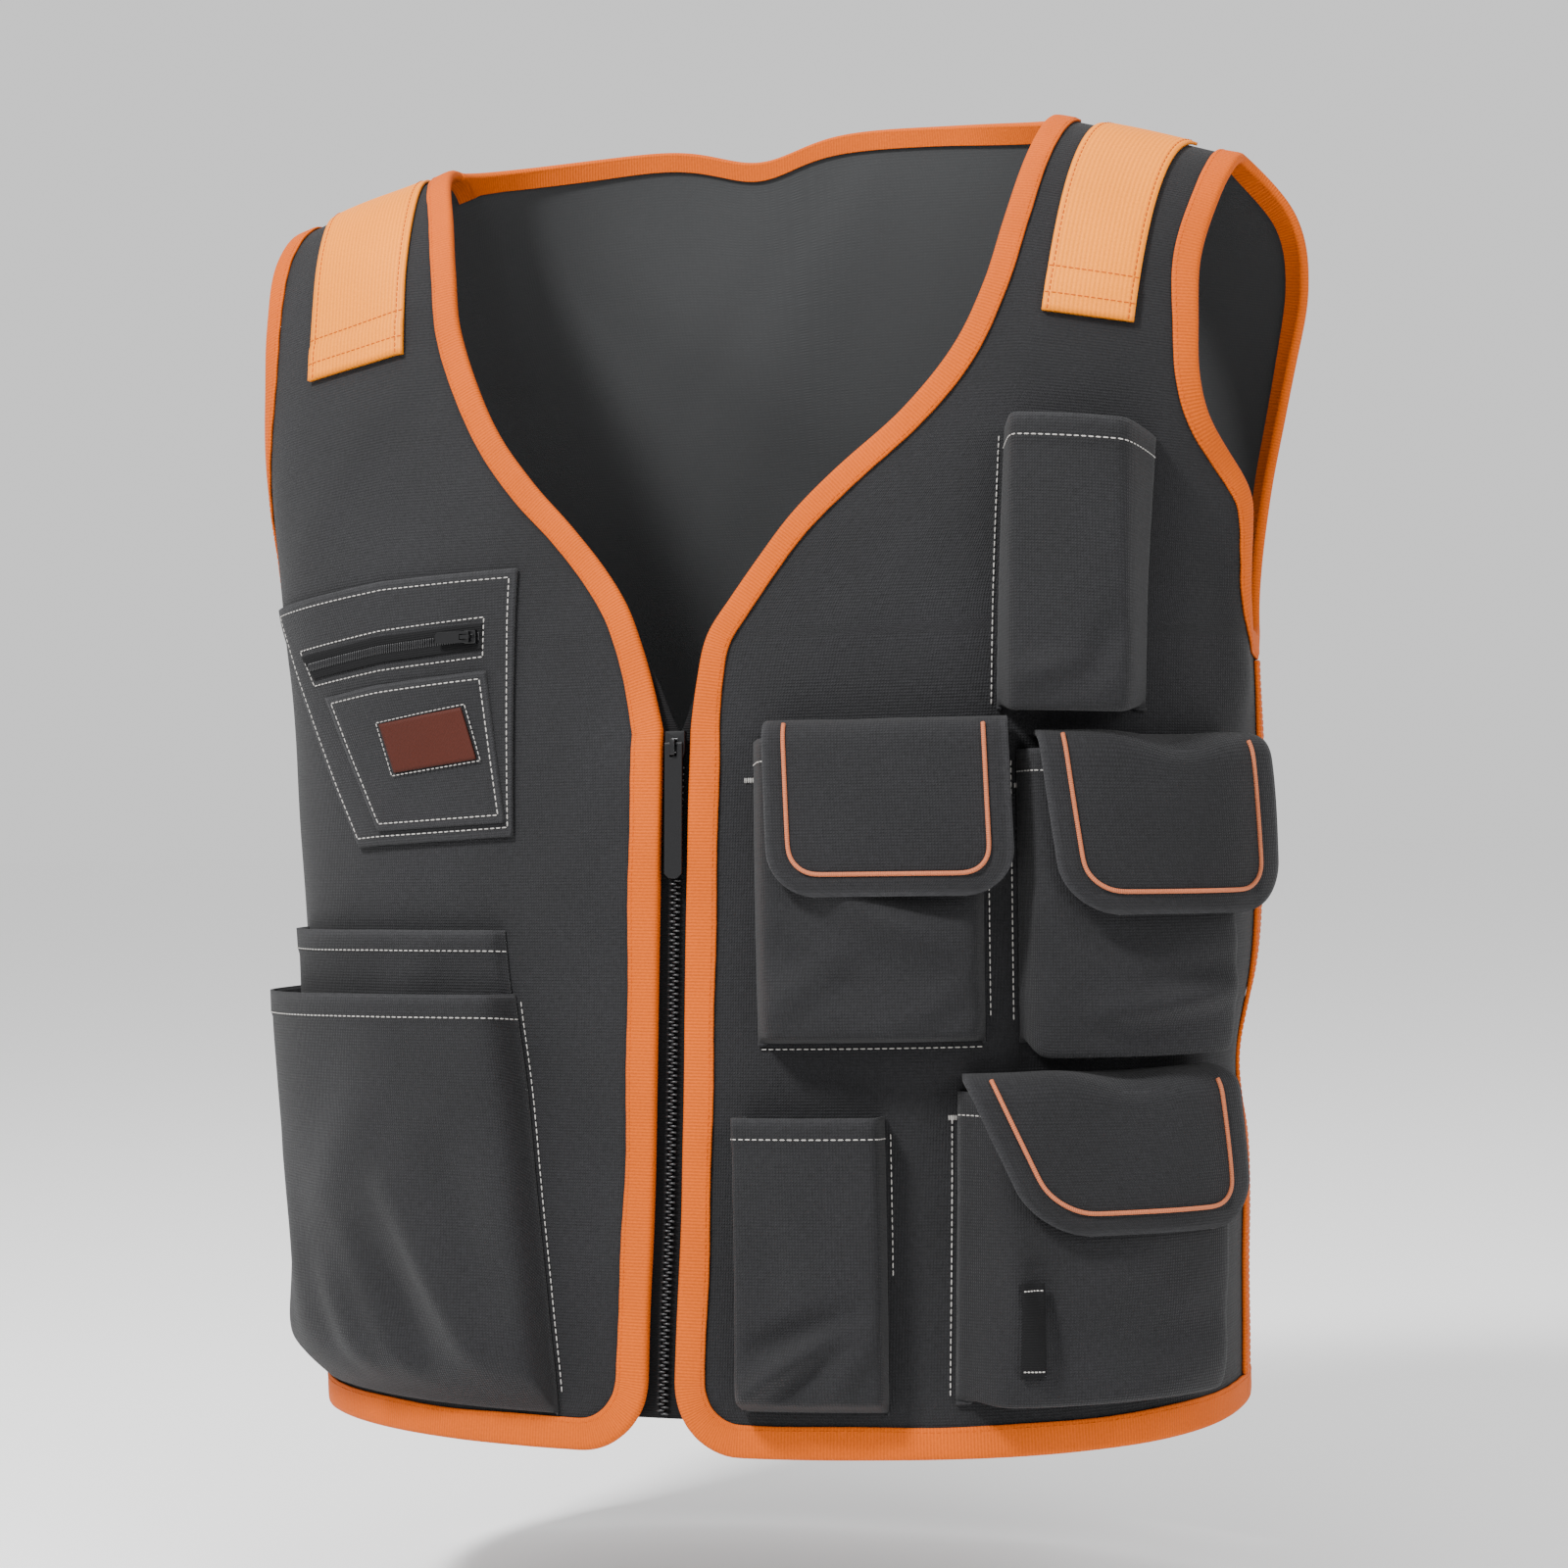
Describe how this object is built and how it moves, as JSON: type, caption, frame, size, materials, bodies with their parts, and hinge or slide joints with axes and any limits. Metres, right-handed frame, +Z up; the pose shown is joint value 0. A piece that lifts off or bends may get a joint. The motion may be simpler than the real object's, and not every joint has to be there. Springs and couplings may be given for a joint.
{
  "type": "utility work vest",
  "caption": "Sleeveless zip-front work vest in dark canvas with bright bound edges, bellows pockets with flaps, a phone pocket and open cargo pockets.",
  "frame": {"origin": "nape: the middle of the back's inner face, just under the back neck binding", "axes": "+Z up, the front faces -Y, the wearer's left is +X"},
  "size_m": [0.5108, 0.2856, 0.5937],
  "materials": {
    "canvas": "matte",
    "binding": "matte",
    "patch": "satin",
    "tape": "matte",
    "label": "satin",
    "teeth": "satin",
    "slider": "satin"
  },
  "bodies": {
    "vest": {"front_panel_right": "canvas", "front_panel_left": "canvas", "back_panel": "canvas", "front_binding_right": "binding", "front_binding_left": "binding", "armhole_binding_right": "binding", "armhole_binding_left": "binding", "back_hem_binding": "binding", "back_neck_binding": "binding", "side_seam_tape_right": "binding", "side_seam_tape_left": "binding", "zip_tape_right": "tape", "zip_tape_left": "tape", "zip_teeth": "teeth", "zip_slider": "slider", "chest_patch_pocket": "canvas", "tool_pocket": "canvas", "label": "label", "chest_zip_tape": "tape", "chest_zip_slider": "slider", "lower_inner_pocket": "canvas", "lower_outer_pocket": "canvas", "phone_pocket": "canvas", "flap_pocket_inner": "canvas", "flap_pocket_outer": "canvas", "pliers_pocket": "canvas", "lower_flap_pocket": "canvas", "flap_inner": "canvas", "flap_outer": "canvas", "flap_lower": "canvas", "clip_strip": "tape", "shoulder_patch_right": "patch", "shoulder_patch_left": "patch"},
    "zip_pull": {"zip_pull": "slider"},
    "chest_zip_pull": {"chest_zip_pull": "slider"}
  },
  "joints": [
    {"name": "zip_pull_hinge", "type": "hinge", "parent": "vest", "child": "zip_pull", "pos_m": [-0.00034, -0.18734, -0.26446], "axis": [-1, 0, 0], "range_deg": [0, 150]},
    {"name": "chest_zip_pull_hinge", "type": "hinge", "parent": "vest", "child": "chest_zip_pull", "pos_m": [-0.09923, -0.18059, -0.21441], "axis": [0, 0, 1], "range_deg": [0, 150]}
  ]
}
